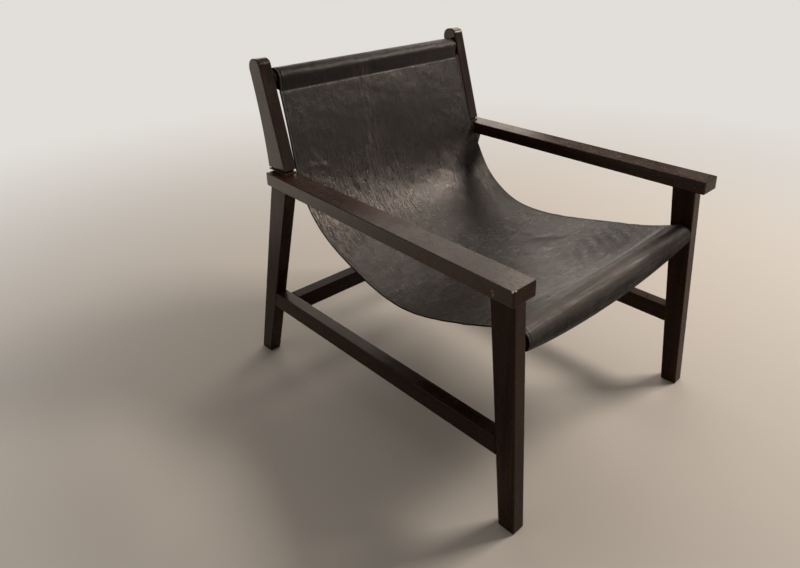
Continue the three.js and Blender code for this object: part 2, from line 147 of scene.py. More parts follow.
# Creases that stay in the hide: (across, along) places on the flat sheet, then half-width and height
CREASES = [
    ([(-254, 322), (-214, 324), (-172, 342)], 4.5, 2.0),
    ([(-232, 290), (-205, 318), (-186, 352)], 4.0, 1.5),
    ([(-250, 350), (-215, 362), (-180, 392)], 6.0, 0.8),
    ([(-262, 420), (-248, 455), (-236, 498)], 9.0, 1.8),
    ([(-268, 505), (-250, 520), (-222, 545)], 5.0, 1.5),
    ([(-266, 468), (-240, 476), (-205, 500)], 5.0, 1.0),
    ([(-200, 400), (-182, 432), (-170, 470)], 7.0, 1.0),
    ([(-120, 372), (-108, 412), (-104, 462)], 8.0, 0.8),
    ([(150, 360), (158, 400), (176, 452)], 9.0, 1.4),
    ([(196, 370), (200, 410), (214, 455)], 8.0, 1.0),
    ([(120, 700), (158, 752), (190, 812)], 8.0, 1.1),
    ([(60, 742), (100, 800), (150, 872)], 9.0, 1.0),
]

# Scuffed places, which are lighter: (across, along), half-width, half-length and strength
SCUFFS_AND_SHEEN = [
    ((-46, 165), 20, 50, 0.8), ((-38, 240), 16, 60, 0.7), ((-52, 310), 26, 40, 0.7),
    ((-210, 318), 34, 16, 0.5), ((-70, 400), 70, 26, 0.6), ((160, 415), 30, 40, 0.6),
    # The last one, below the arm, is a painted highlight
    ((-257, 468), 24, 40, 1.0),
]

# Rubbed places, worn and with painted sheen: the bend, as a share of the way from top seam to front rail, and
# a patch below the arm
BEND_AT = 0.35
BEND_ABOVE = 0.13
BEND_BELOW = 0.09
LEFT_BEND_AT = 0.36
LEFT_BEND_WIDTH = 0.11
UNDER_ARM = ((-256, 470), 40, 62)

# Where marks begin and are full: millimetres from edge, seam, rail or middle, or shares of the way down
RIM = (1.5, 2.8)
HEM_OUTSIDE = (2.4, 3.4)
HEM_INSIDE = (4.8, 6.2)
TOP_SLEEVE = (-1.0, 1.0)
FRONT_SLEEVE = (-30.0, 6.0)
LEFT_SLEEVE = (-20.0, 200.0)
LEFT_EDGE_DULL = (225.0, 260.0)
SEAT = (0.42, 0.56)

# Light and ground, with linear colours
PALE = (0.76, 0.73, 0.69, 1.0)
WARM_GROUND = (1.0, 0.88, 0.76, 1.0)
FLOOR_TONE = (0.62, 0.585, 0.54, 1.0)
FLOOR_ROUGHNESS = 0.8
DIM_LIGHT = (1.0, 0.92, 0.85, 1.0)
DIM_STRENGTH = 0.11

# Height of the pale glow that finishes mirror above the horizon, in front of the chair and behind it,
# and where one turns into the other
GLOW_IN_FRONT = 0.26
GLOW_BEHIND = 0.06
GLOW_TURN = (-0.3, 0.1)

# Distances in metres over which the floor turns to even ground, seen directly and mirrored.
# In front of the chair less of it is mirrored.
GROUND_SEEN = (0.5, 2.8)
GROUND_MIRRORED = (0.95, 1.45)
GROUND_TURN = (0.0, 0.5)
GROUND_IN_FRONT = 0.4
FLOOR_HALF = 14.0

# Lamps: place, target and size in metres, then watts and colour
LAMPS = {
    "key": ((1.95, -1.1, 2.33), (0, 0.05, 0.35), (0.9, 0.9), 60, (1.0, 0.885, 0.78)),
    "overhead": ((0.2, 0.1, 3.2), (0.1, 0, 0), (2.6, 2.6), 10, (1.0, 0.89, 0.78)),
    "broad_back": ((1.7, 2.77, 1.35), (0, 0, 0.7), (2.9, 2.7), 35, (1.0, 0.89, 0.79)),
    "high_back": ((2.1, 0.78, 2.3), (0, -0.1, 0.4), (1.2, 0.8), 13, (1.0, 0.91, 0.81)),
    "right_fill": ((-2.6, 1.6, 1.3), (0, 0, 0.7), (2.6, 2.4), 8, (1.0, 0.93, 0.86)),
    "front_fill": ((-1.8, -2.6, 2.7), (0, 0, 0.3), (1.6, 1.6), 3, (1.0, 0.9, 0.8)),
}

# Wood: dark and light of the grain as sRGB, then how strongly sides and level tops reflect
WOODS = {
    "leg": ((29, 16, 9), (55, 32, 19), 0.12, 0.2),
    "arm": ((29, 14, 7), (58, 32, 18), 0.36, 0.4),
    "rail": ((22, 12, 7), (42, 25, 15), 0.12, 0.06),
    "upright": ((25, 14, 9), (47, 29, 19), 0.36, 0.5),
    "spacer": ((24, 13, 7), (40, 23, 14), 0.3, 0.3),
    "peg": ((150, 118, 82), (186, 154, 112), 0.12, 0.2),
}

# Bare wood in chips, the paler colour of the spacer's plate, and where that plate ends, in millimetres up
CHIPPED = (206, 190, 168)
PALE_PLATE = (92, 74, 60)
PLATE_END = (2.4, 3.0)

# Chips on the near arm, in millimetres from its front outer top corner, and their radius
CHIPS = [
    ((1.2, 2.5, -0.8), 2.3), ((6.5, 1.0, -0.8), 1.8), ((0.4, 43.0, -14.5), 1.3), ((0.4, 39.0, -14.0), 1.1),
    ((0.4, 41.5, -18.0), 1.2), ((0.4, 38.0, -19.5), 1.0), ((0.4, 40.5, -22.5), 1.2),
]

# Leather and thread as sRGB
HIDE_DARK = (19, 16, 15)
HIDE_LIGHT = (35, 31, 29)
HIDE_SPECK = (57, 50, 47)
# Rubbed hide, painted lighter in streaks as sheen
HIDE_RUB_AND_SHEEN = (100, 90, 84)
# Scuffed hide, also the colour of the painted highlight below the arm
HIDE_SCUFF_AND_SHEEN = (86, 78, 73)
# Paler hide: on the hem strip, and as painted light on the front sleeve's upward faces
HIDE_PALE_TONE = (76, 69, 64)
# Painted shade along the front seam
HIDE_SEAM_SHADE = (9, 8, 7)
FLESH_DARK = (38, 32, 27)
FLESH_LIGHT = (60, 51, 43)
CUT_EDGE = (13, 11, 10)
THREAD_DARK = (44, 40, 36)
THREAD_LIGHT = (78, 72, 64)

# Leather's roughness: in dark and light places, then what marks and noises add
HIDE_ROUGH = (0.37, 0.27)
STREAK_ROUGH = (0.22, 0.7)
SPECK_ROUGH = -0.18
SCUFF_ROUGH = -0.1
RUB_ROUGH = -0.1
FLESH_ROUGH = 0.3
SLEEVE_ROUGH = (0.08, 0.3)
SEAT_ROUGH = (-0.05, 0.05)

# Leather's relief: shares of the folds' height, sound to rubbed, then heights in metres and strengths
WRINKLE = (0.09, 1.05)
SPECK = (0.12, 0.32)
VEIN = 0.02
SLEEVE_LINES = 0.2
SEAT_LINES = 0.16
BROAD_BUMP = (0.0024, 0.8)
FOLD_BUMP = (0.003, 0.9)
PEBBLE_BUMP = (0.00012, 0.8)

# How strongly leather reflects, sound and dulled
HIDE_SHINE = (0.5, 0.21)

# What is stored at each point of the sheet for its finish
MARKS = ("flesh", "rim", "rub_and_sheen", "hem", "scuff_and_sheen", "dulled", "front_sleeve", "seat")

# Ranges that the finishes read: the middle of a noise, the mask of rubbed places with painted sheen, and a
# mask from none to all
NOISE_BAND = (0.3, 0.7)
TONE_BAND = (0.36, 0.66)
RUB_BAND = (0.0, 0.7)
WHOLE = (0.0, 1.0)

# The old finish on wood and hide warms what it reflects
WARM_SHEEN = (1.0, 0.91, 0.83, 1.0)
HIDE_SHEEN = (1.0, 0.935, 0.9, 1.0)


# Small tools

def new_object(name, data):
    thing = bpy.data.objects.new(name, data)
    bpy.context.scene.collection.objects.link(thing)
    return thing


def mesh_from(name, points, faces):
    mesh = bpy.data.meshes.new(name)
    mesh.from_pydata([tuple(p) for p in points], [], [tuple(f) for f in faces])
    mesh.update()
    mesh.polygons.foreach_set("use_smooth", [True] * len(mesh.polygons))
    return mesh


def smoothstep(low, high, value):
    t = np.clip((value - low) / (high - low), 0.0, 1.0)
    return t * t * (3 - 2 * t)


def even_line(knots, count):
    """Points along a natural cubic curve through the knots, evenly spaced."""
    knots = np.array(knots, float)
    run = np.concatenate([[0.0], np.cumsum(np.linalg.norm(np.diff(knots, axis=0), axis=1))])
    gap = np.diff(run)
    matrix = np.eye(len(knots))
    right = np.zeros_like(knots)
    for i in range(1, len(knots) - 1):
        matrix[i, i - 1:i + 2] = gap[i - 1], 2 * (gap[i - 1] + gap[i]), gap[i]
        rise = (knots[i + 1] - knots[i]) / gap[i]
        right[i] = 6 * (rise - (knots[i] - knots[i - 1]) / gap[i - 1])
    bend = np.linalg.solve(matrix, right)
    at = np.linspace(0.0, run[-1], count)
    k = np.clip(np.searchsorted(run, at, side="right") - 1, 0, len(gap) - 1)
    h = gap[k][:, None]
    a = (run[k + 1] - at)[:, None] / h
    b = (at - run[k])[:, None] / h
    line = a * knots[k] + b * knots[k + 1]
    line += ((a ** 3 - a) * bend[k] + (b ** 3 - b) * bend[k + 1]) * h * h / 6
    return line


def length_along(line):
    return np.concatenate([[0.0], np.cumsum(np.linalg.norm(np.diff(line, axis=0), axis=1))])


def sample(line, fractions):
    run = length_along(line)
    at = np.asarray(fractions) * run[-1]
    return np.stack([np.interp(at, run, line[:, i]) for i in range(line.shape[1])], axis=1)


def stepped(total, step_at):
    """Places from 0 to total with a step that step_at gives, stretched to end exactly."""
    places = [0.0]
    while places[-1] < total:
        places.append(places[-1] + step_at(places[-1]))
    places = np.array(places)
    return places * total / places[-1]


def arc(centre, radius, start, end, count):
    angles = np.radians(np.linspace(start, end, count))
    return np.stack([centre[0] + radius * np.cos(angles), centre[1] + radius * np.sin(angles)], axis=1)


def bezier(p0, p1, p2, p3, count):
    t = np.linspace(0.0, 1.0, count)[:, None]
    p0, p1, p2, p3 = (np.array(p, float) for p in (p0, p1, p2, p3))
    return (1 - t) ** 3 * p0 + 3 * (1 - t) ** 2 * t * p1 + 3 * (1 - t) * t * t * p2 + t ** 3 * p3


# Shader helpers

class Shade:
    """A node tree with short calls for the nodes that finishes, surroundings and stitches use."""

    def __init__(self, tree):
        self.tree = tree

    def node(self, kind, **values):
        made = self.tree.nodes.new(kind)
        for name, value in values.items():
            setattr(made, name, value)
        return made

    def feed(self, socket, value):
        if isinstance(value, bpy.types.NodeSocket):
            self.tree.links.new(value, socket)
        else:
            socket.default_value = value

    def math(self, operation, a, b=0.0, clamp=False):
        made = self.node("ShaderNodeMath", operation=operation, use_clamp=clamp)
        self.feed(made.inputs[0], a)
        self.feed(made.inputs[1], b)
        return made.outputs[0]

    def plus(self, base, extra, amount):
        """The base with an amount of something extra."""
        return self.math("ADD", base, self.math("MULTIPLY", extra, amount))

    def span(self, value, low, high, to_low=0.0, to_high=1.0):
        made = self.node("ShaderNodeMapRange", interpolation_type="SMOOTHSTEP")
        for socket, given in zip(made.inputs, (value, low, high, to_low, to_high)):
            self.feed(socket, given)
        return made.outputs["Result"]

    def mix(self, share, a, b):
        made = self.node("ShaderNodeMix", data_type="RGBA")
        self.feed(made.inputs[0], share)
        self.feed(made.inputs[6], a)
        self.feed(made.inputs[7], b)
        return made.outputs[2]

    def blend(self, share, first, second, output):
        """Two shaders mixed into an output node."""
        made = self.node("ShaderNodeMixShader")
        self.feed(made.inputs[0], share)
        self.feed(made.inputs[1], first.outputs[0])
        self.feed(made.inputs[2], second.outputs[0])
        self.feed(output.inputs["Surface"], made.outputs[0])

    def split(self, vector):
        made = self.node("ShaderNodeSeparateXYZ")
        self.feed(made.inputs[0], vector)
        return made.outputs

    def stretch(self, vector, scale=(1, 1, 1), turn=(0, 0, 0)):
        made = self.node("ShaderNodeMapping")
        self.feed(made.inputs["Vector"], vector)
        made.inputs["Rotation"].default_value = turn
        made.inputs["Scale"].default_value = scale
        return made.outputs["Vector"]

    def noise(self, vector, scale, detail, rough, twist=0.0):
        made = self.node("ShaderNodeTexNoise")
        self.feed(made.inputs["Vector"], vector)
        made.inputs["Scale"].default_value = scale
        made.inputs["Detail"].default_value = detail
        made.inputs["Roughness"].default_value = rough
        made.inputs["Distortion"].default_value = twist
        return made.outputs["Fac"]

    def cells(self, vector, scale):
        """Distance to the borders of random cells."""
        made = self.node("ShaderNodeTexVoronoi", feature="DISTANCE_TO_EDGE")
        self.feed(made.inputs["Vector"], vector)
        made.inputs["Scale"].default_value = scale
        return made.outputs["Distance"]

    def attribute(self, name):
        return self.node("ShaderNodeAttribute", attribute_name=name).outputs["Fac"]

    def bump(self, height, distance, strength, under=None):
        made = self.node("ShaderNodeBump")
        made.inputs["Strength"].default_value = strength
        made.inputs["Distance"].default_value = distance
        self.feed(made.inputs["Height"], height)
        if under is not None:
            self.feed(made.inputs["Normal"], under)
        return made.outputs["Normal"]


def new_group(name, inputs, outputs):
    tree = bpy.data.node_groups.new(name, "ShaderNodeTree")
    for label, kind in inputs:
        tree.interface.new_socket(label, in_out="INPUT", socket_type=kind)
    for label, kind in outputs:
        tree.interface.new_socket(label, in_out="OUTPUT", socket_type=kind)
    shade = Shade(tree)
    return tree, shade, shade.node("NodeGroupInput").outputs, shade.node("NodeGroupOutput").inputs


def new_finish(name):
    material = bpy.data.materials.new(name)
    material.use_nodes = True
    shade = Shade(material.node_tree)
    return material, shade, material.node_tree.nodes["Principled BSDF"].inputs


def colour(r, g, b):
    """An sRGB colour, 0 to 255, as the linear one that a socket takes."""
    def linear(c):
        c /= 255
        return c / 12.92 if c <= 0.04045 else ((c + 0.055) / 1.055) ** 2.4
    return (linear(r), linear(g), linear(b), 1.0)


# Camera and light

def make_camera():
    data = bpy.data.cameras.new("camera")
    data.sensor_fit = "HORIZONTAL"
    data.sensor_width = 36.0
    data.lens = FOCAL_PX * data.sensor_width / PICTURE[0]
    data.shift_x = (PICTURE[0] / 2 - OPTICAL_CENTRE[0]) / PICTURE[0]
    data.shift_y = (OPTICAL_CENTRE[1] - PICTURE[1] / 2) / PICTURE[0]
    data.clip_end = 60.0
    camera = new_object("camera", data)
    ahead = Vector((
        math.sin(CAMERA_YAW) * math.cos(CAMERA_PITCH),
        math.cos(CAMERA_YAW) * math.cos(CAMERA_PITCH),
        -math.sin(CAMERA_PITCH),
    ))
    right = Vector((math.cos(CAMERA_YAW), -math.sin(CAMERA_YAW), 0.0))
    up = right.cross(ahead)
    turn = Matrix((right, up, -ahead)).transposed().to_4x4()
    x, y, z = CAMERA_PLACE
    camera.matrix_world = Matrix.Translation((x * MM, ARM_FRONT_Y + y * MM, z * MM)) @ turn
    bpy.context.scene.camera = camera


def lamp(name, place, target, size, watts, tint):
    data = bpy.data.lights.new(name, "AREA")
    data.shape = "RECTANGLE"
    data.size, data.size_y = size
    data.energy = watts
    data.color = tint
    light = new_object(name, data)
    light.location = place
    aim = Vector(target) - Vector(place)
    light.rotation_euler = aim.to_track_quat("-Z", "Y").to_euler()


def make_light():
    """Soft lamps in dim surroundings. The camera sees a pale backdrop, and low down finishes mirror it."""
    scene = bpy.context.scene
    scene.view_settings.view_transform = "Standard"
    world = bpy.data.worlds.new("surroundings")
    scene.world = world
    world.use_nodes = True
    shade = Shade(world.node_tree)
    nodes = world.node_tree.nodes
    nodes["Background"].inputs["Color"].default_value = DIM_LIGHT
    nodes["Background"].inputs["Strength"].default_value = DIM_STRENGTH
    backdrop = shade.node("ShaderNodeBackground")
    backdrop.inputs["Color"].default_value = PALE
    path = shade.node("ShaderNodeLightPath").outputs
    way = shade.split(shade.node("ShaderNodeTexCoord").outputs["Generated"])
    reach = shade.span(way["Y"], *GLOW_TURN, GLOW_IN_FRONT, GLOW_BEHIND)
    glow = shade.math("SUBTRACT", 1.0, shade.math("DIVIDE", way["Z"], reach), clamp=True)
    mirrored = shade.math("MULTIPLY", mirrored_rays(shade, path), glow)
    seen = shade.math("ADD", path["Is Camera Ray"], mirrored, clamp=True)
    shade.blend(seen, nodes["Background"], backdrop, nodes["World Output"])
    for name, values in LAMPS.items():
        lamp(name, *values)


def mirrored_rays(shade, path):
    return shade.math("ADD", path["Is Glossy Ray"], path["Is Transmission Ray"], clamp=True)


def make_floor():
    """A pale floor. Far from the chair it shows as an even pale ground, whatever light reaches it."""
    material, shade, principled = new_finish("pale_floor")
    nodes = material.node_tree.nodes
    principled["Base Color"].default_value = FLOOR_TONE
    principled["Roughness"].default_value = FLOOR_ROUGHNESS
    ground = shade.node("ShaderNodeEmission")
    path = shade.node("ShaderNodeLightPath").outputs
    mirrored = mirrored_rays(shade, path)
    shade.feed(ground.inputs["Color"], shade.mix(mirrored, PALE, WARM_GROUND))
    place = shade.node("ShaderNodeTexCoord").outputs["Object"]
    away = shade.node("ShaderNodeVectorMath", operation="LENGTH")
    shade.feed(away.inputs[0], place)
    seen = shade.math("MULTIPLY", path["Is Camera Ray"], shade.span(away.outputs["Value"], *GROUND_SEEN))
    reflected = shade.math("MULTIPLY", mirrored, shade.span(away.outputs["Value"], *GROUND_MIRRORED))
    behind = shade.span(shade.split(place)["Y"], *GROUND_TURN, GROUND_IN_FRONT, 1.0)
    reflected = shade.math("MULTIPLY", reflected, behind)
    even = shade.math("ADD", seen, reflected, clamp=True)
    shade.blend(even, nodes["Principled BSDF"], ground, nodes["Material Output"])
    corners = [(-1, -1), (1, -1), (1, 1), (-1, 1)]
    mesh = mesh_from("floor", [(x * FLOOR_HALF, y * FLOOR_HALF, 0) for x, y in corners], [(0, 1, 2, 3)])
    mesh.materials.append(material)
    floor = new_object("floor", mesh)


# Wood

def grain_group():
    """Stained wood: the vector's X runs along the grain, in metres."""
    tree, s, given, out = new_group(
        "stained_grain",
        [("Vector", "NodeSocketVector"), ("Dark", "NodeSocketColor"), ("Light", "NodeSocketColor")],
        [("Color", "NodeSocketColor"), ("Gloss", "NodeSocketFloat"), ("Height", "NodeSocketFloat")],
    )
    along = given["Vector"]
    figure = s.noise(s.stretch(along, (2.5, 60, 60)), 1.0, detail=4, rough=0.6, twist=0.4)
    fibre = s.noise(s.stretch(along, (9, 620, 620)), 1.0, detail=3, rough=0.6)
    pores = s.noise(s.stretch(along, (55, 1500, 1500)), 1.0, detail=2, rough=0.5)
    haze = s.noise(along, 14.0, detail=4, rough=0.6)
    pits = s.span(pores, 0.58, 0.7)
    tone = s.plus(s.math("MULTIPLY", figure, 0.65), fibre, 0.35)
    s.feed(out["Color"], s.mix(s.span(tone, *TONE_BAND), given["Dark"], given["Light"]))
    s.feed(out["Gloss"], s.plus(s.span(haze, *NOISE_BAND, 0.2, 0.32), pits, 0.12))
    s.feed(out["Height"], s.plus(s.math("MULTIPLY", fibre, 0.5), pits, -0.8))
    return tree


def stained(s, group, kind, place, turn):
    """The grain group's outputs for one kind of wood, with the grain turned to run along the piece."""
    grain = s.node("ShaderNodeGroup", node_tree=group)
    dark, light = WOODS[kind][:2]
    s.feed(grain.inputs["Vector"], s.stretch(place, turn=turn))
    grain.inputs["Dark"].default_value = colour(*dark)
    grain.inputs["Light"].default_value = colour(*light)
    return grain.outputs


def wood_finish(name, group, kind, turn, chips=(), matt_ends=False):
    """A stained wood. Each chip is a place and a radius in metres, and matt ends are those along Y."""
    material, s, principled = new_finish(name)
    place = s.node("ShaderNodeTexCoord").outputs["Object"]
    grain = stained(s, group, kind, place, turn)
    tone = grain["Color"]
    gloss = grain["Gloss"]
    ragged = s.math("SUBTRACT", s.noise(place, 900.0, detail=3, rough=0.7), 0.5)
    for centre, radius in chips:
        away = s.node("ShaderNodeVectorMath", operation="DISTANCE")
        s.feed(away.inputs[0], place)
        away.inputs[1].default_value = centre
        reach = s.plus(away.outputs["Value"], ragged, radius * 1.2)
        bare = s.span(reach, radius * 0.75, radius, 1.0, 0.0)
        tone = s.mix(bare, tone, colour(*CHIPPED))
        gloss = s.plus(gloss, bare, 0.4)
    s.feed(principled["Base Color"], tone)
    s.feed(principled["Roughness"], gloss)
    s.feed(principled["Normal"], s.bump(grain["Height"], 0.00008, 0.5))
    facing = s.split(s.node("ShaderNodeNewGeometry").outputs["Normal"])
    sides, tops = WOODS[kind][2:]
    level = s.span(facing["Z"], 0.4, 0.9, sides, tops)
    if matt_ends:
        matt = s.span(s.math("ABSOLUTE", facing["Y"]), 0.6, 0.95, 1.0, 0.2)
        level = s.math("MULTIPLY", level, matt)
    s.feed(principled["Specular IOR Level"], level)
    principled["Specular Tint"].default_value = WARM_SHEEN
    return material


def spacer_finish(group, turn):
    """The spacer under an upright: its thin plate is paler, in patches. The wedge on it is dark."""
    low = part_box("left_upright_spacer")[0][2]
    material, s, principled = new_finish("stained_spacer")
    place = s.node("ShaderNodeTexCoord").outputs["Object"]
    grain = stained(s, group, "spacer", place, turn)
    fade_from, fade_to = (low + height * MM for height in PLATE_END)
    plate = s.span(s.split(place)["Z"], fade_from, fade_to, 1.0, 0.0)
    patchy = s.span(s.noise(place, 160.0, detail=3, rough=0.6), 0.3, 0.6, 0.35, 1.0)
    paler = s.math("MULTIPLY", plate, patchy)
    s.feed(principled["Base Color"], s.mix(paler, grain["Color"], colour(*PALE_PLATE)))
    s.feed(principled["Roughness"], grain["Gloss"])
    principled["Specular IOR Level"].default_value = WOODS["spacer"][2]
    return material


def finish_frame():
    group = grain_group()
    along_x = (0, 0, 0)
    along_y = (0, 0, math.radians(-90))
    along_z = (0, math.radians(90), 0)
    low, high = (Vector(c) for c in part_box("right_arm"))
    corner = Vector((low.x, low.y, high.z))
    chips = [(corner + Vector(place) * MM, radius * MM) for place, radius in CHIPS]
    rail = wood_finish("stained_rail", group, "rail", along_x)
    finishes = [
        ("dowel", wood_finish("bare_peg", group, "peg", along_z)),
        ("right_arm", wood_finish("stained_arm_chipped", group, "arm", along_y, chips, matt_ends=True)),
        ("left_arm", wood_finish("stained_arm", group, "arm", along_y, matt_ends=True)),
        ("side_stretcher", wood_finish("stained_side_rail", group, "leg", along_y)),
        ("spacer", spacer_finish(group, along_y)),
        ("upright", wood_finish("stained_upright", group, "upright", along_z)),
        ("leg", wood_finish("stained_leg", group, "leg", along_z)),
    ]
    for name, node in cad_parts.items():
        if name == "leather_sling":
            continue
        finish = next((made for word, made in finishes if word in name), rail)
        node.data.materials.clear()
        node.data.materials.append(finish)


# Leather

def leather_finish():
    """Black leather: mottled and wrinkled grain side, brown and rough flesh side, dark cut edges."""
    material, s, principled = new_finish("black_saddle_leather")
    place = s.node("ShaderNodeTexCoord").outputs["Object"]
    flat = s.node("ShaderNodeUVMap", uv_map="flat").outputs["UV"]
    up = s.split(s.node("ShaderNodeNewGeometry").outputs["Normal"])["Z"]
    mark = {name: s.attribute(name) for name in MARKS}
    cloud = s.noise(place, 9.0, detail=4, rough=0.6, twist=0.3)
    mottle = s.noise(place, 42.0, detail=4, rough=0.65)
    streak = s.noise(s.stretch(flat, (150, 22, 1)), 1.0, detail=4, rough=0.65, twist=0.6)
    fine = {
        "mottle": mottle,
        "tone": s.plus(s.math("MULTIPLY", cloud, 0.55), mottle, 0.45),
        "speck": s.noise(place, 130.0, detail=4, rough=0.7, twist=0.5),
        "streak": streak,
        "scuffed_and_sheen": s.math("MULTIPLY", mark["scuff_and_sheen"], s.span(streak, 0.42, 0.66)),
        "wrinkle": s.noise(s.stretch(flat, (150, 26, 1)), 1.0, detail=2, rough=0.5, twist=0.9),
        "lines": s.noise(s.stretch(flat, (13, 300, 1)), 1.0, detail=3, rough=0.6, twist=0.8),
        "cross": s.noise(s.stretch(flat, (52, 190, 1)), 1.0, detail=2, rough=0.5, twist=0.8),
    }
    s.feed(principled["Base Color"], leather_colour(s, mark, fine, up))
    s.feed(principled["Roughness"], leather_gloss(s, mark, fine))
    s.feed(principled["Normal"], leather_relief(s, mark, fine, place))
    s.feed(principled["Specular IOR Level"], leather_shine(s, mark, up))
    principled["Specular Tint"].default_value = HIDE_SHEEN
    return material


def leather_colour(s, mark, fine, up):
    grain_side = s.mix(s.span(fine["tone"], *TONE_BAND), colour(*HIDE_DARK), colour(*HIDE_LIGHT))
    grain_side = s.mix(s.span(fine["speck"], 0.52, 0.74, 0.0, 0.3), grain_side, colour(*HIDE_SPECK))
    # Painted sheen: rubbed places turn lighter in streaks
    patchy = s.span(s.math("ADD", fine["streak"], fine["speck"]), 0.85, 1.2)
    grain_side = s.mix(s.math("MULTIPLY", mark["rub_and_sheen"], patchy), grain_side, colour(*HIDE_RUB_AND_SHEEN))
    # Scuffs turn lighter; the one below the arm is a painted highlight
    grain_side = s.mix(fine["scuffed_and_sheen"], grain_side, colour(*HIDE_SCUFF_AND_SHEEN))
    grain_side = s.mix(s.math("MULTIPLY", mark["hem"], 0.35), grain_side, colour(*HIDE_PALE_TONE))
    # Painted light: the front sleeve's upward faces are lighter, less so where the hide is dulled
    painted_top_light = s.math("MULTIPLY", mark["front_sleeve"], s.span(up, 0.1, 0.7, 0.0, 0.55))
    painted_top_light = s.math("MULTIPLY", painted_top_light, s.span(mark["dulled"], *WHOLE, 1.0, 0.2))
    grain_side = s.mix(painted_top_light, grain_side, colour(*HIDE_PALE_TONE))
    # Painted shade: a dark line along the front seam
    grain_side = s.mix(front_seam_shade(s, mark), grain_side, colour(*HIDE_SEAM_SHADE))
    flesh_side = s.mix(s.span(fine["mottle"], *NOISE_BAND), colour(*FLESH_DARK), colour(*FLESH_LIGHT))
    hide = s.mix(mark["flesh"], grain_side, flesh_side)
    return s.mix(mark["rim"], hide, colour(*CUT_EDGE))


def front_seam_shade(s, mark):
    """Painted shade: a dark line along the front seam, which lies where the sleeve's mask has risen to about
    a quarter.
    """
    away = s.math("ABSOLUTE", s.math("SUBTRACT", mark["front_sleeve"], 0.26))
    return s.span(away, 0.02, 0.12, 0.85, 0.0)


def leather_gloss(s, mark, fine):
    """Roughness: streaky where the hide is rubbed, dull on the flesh side and on the front sleeve."""
    gloss = s.span(fine["tone"], *NOISE_BAND, *HIDE_ROUGH)
    uneven = s.span(mark["rub_and_sheen"], *RUB_BAND, *STREAK_ROUGH)
    gloss = s.plus(gloss, s.math("SUBTRACT", fine["streak"], 0.5), uneven)
    gloss = s.plus(gloss, s.math("SUBTRACT", fine["speck"], 0.5), SPECK_ROUGH)
    gloss = s.plus(gloss, fine["scuffed_and_sheen"], SCUFF_ROUGH)
    gloss = s.plus(gloss, mark["rub_and_sheen"], RUB_ROUGH)
    gloss = s.plus(gloss, s.math("ADD", mark["flesh"], mark["rim"]), FLESH_ROUGH)
    gloss = s.plus(gloss, mark["front_sleeve"], s.span(fine["lines"], *NOISE_BAND, *SLEEVE_ROUGH))
    return s.plus(gloss, mark["seat"], s.span(fine["cross"], *NOISE_BAND, *SEAT_ROUGH))


def leather_relief(s, mark, fine, place):
    """Normal: broad unevenness, wrinkles that deepen where the hide is rubbed, and a fine pebbled grain."""
    wander = s.node("ShaderNodeTexNoise")
    s.feed(wander.inputs["Vector"], place)
    wander.inputs["Scale"].default_value = 160.0
    shift = s.node("ShaderNodeVectorMath", operation="SCALE")
    s.feed(shift.inputs[0], wander.outputs["Color"])
    shift.inputs["Scale"].default_value = 0.004
    warp = s.node("ShaderNodeVectorMath", operation="ADD")
    s.feed(warp.inputs[0], place)
    s.feed(warp.inputs[1], shift.outputs["Vector"])
    pebble = s.span(s.cells(warp.outputs["Vector"], 520.0), 0.0, 0.25)
    vein = s.span(s.cells(warp.outputs["Vector"], 110.0), 0.0, 0.09)
    folds = s.math("MULTIPLY", fine["wrinkle"], s.span(mark["rub_and_sheen"], *RUB_BAND, *WRINKLE))
    folds = s.plus(folds, vein, VEIN)
    folds = s.plus(folds, fine["speck"], s.span(mark["rub_and_sheen"], *RUB_BAND, *SPECK))
    folds = s.plus(folds, s.math("MULTIPLY", fine["lines"], mark["front_sleeve"]), SLEEVE_LINES)
    folds = s.plus(folds, s.math("MULTIPLY", fine["cross"], mark["seat"]), SEAT_LINES)
    broad = s.bump(s.noise(place, 34.0, detail=1, rough=0.5), *BROAD_BUMP)
    folded = s.bump(folds, *FOLD_BUMP, under=broad)
    return s.bump(pebble, *PEBBLE_BUMP, under=folded)


def leather_shine(s, mark, up):
    """Specular level: low on dulled places, under the front sleeve, along its seam and at cut edges."""
    below = s.math("MULTIPLY", mark["front_sleeve"], s.span(up, -0.1, 0.3, 0.8, 0.0))
    level = s.math("MULTIPLY", s.span(mark["dulled"], *WHOLE, *HIDE_SHINE), s.math("SUBTRACT", 1.0, below))
    level = s.math("MULTIPLY", level, s.math("SUBTRACT", 1.0, front_seam_shade(s, mark)))
    return s.math("MULTIPLY", level, s.span(mark["rim"], *WHOLE, 1.0, 0.15))


def thread_finish():
    material, s, principled = new_finish("waxed_thread")
    place = s.node("ShaderNodeTexCoord").outputs["Object"]
    fuzz = s.noise(place, 2400.0, detail=3, rough=0.6)
    s.feed(principled["Base Color"], s.mix(fuzz, colour(*THREAD_DARK), colour(*THREAD_LIGHT)))
    s.feed(principled["Roughness"], s.span(fuzz, 0.2, 0.8, 0.45, 0.7))
    s.feed(principled["Normal"], s.bump(fuzz, 0.0001, 0.6))
    return material


# The sling's middle surface, in millimetres: rows run along it from the margin behind the top rail, over that
# rail, down the back, along the seat, round the front rail and back to the margin under the seat.

def sleeve_over_top():
    """Side view (y, z) of the margin and of the sleeve round the top rail, ending at the top seam."""
    r = RAIL_R + SLEEVE_GAP + LEATHER / 2
    rail = np.array(TOP_RAIL)
    under = rail - (0, r)
    flap = np.array([rail[0] - r + LEATHER + SLEEVE_GAP, SEAM_TOP])
    tail = flap - MARGIN * np.array([math.sin(BACK_LEAN), math.cos(BACK_LEAN)])
    pieces = [
        np.linspace(tail, flap, MARGIN_ROWS),
        bezier(flap, flap + (0, FOLD_R), under - (3 * FOLD_R, 0), under, count=8),
        arc(rail, r, -90, 180, count=44),
        np.linspace(rail - (r, 0), (rail[0] - r, SEAM_TOP), num=13),
    ]
    return np.concatenate([pieces[0]] + [piece[1:] for piece in pieces[1:]])


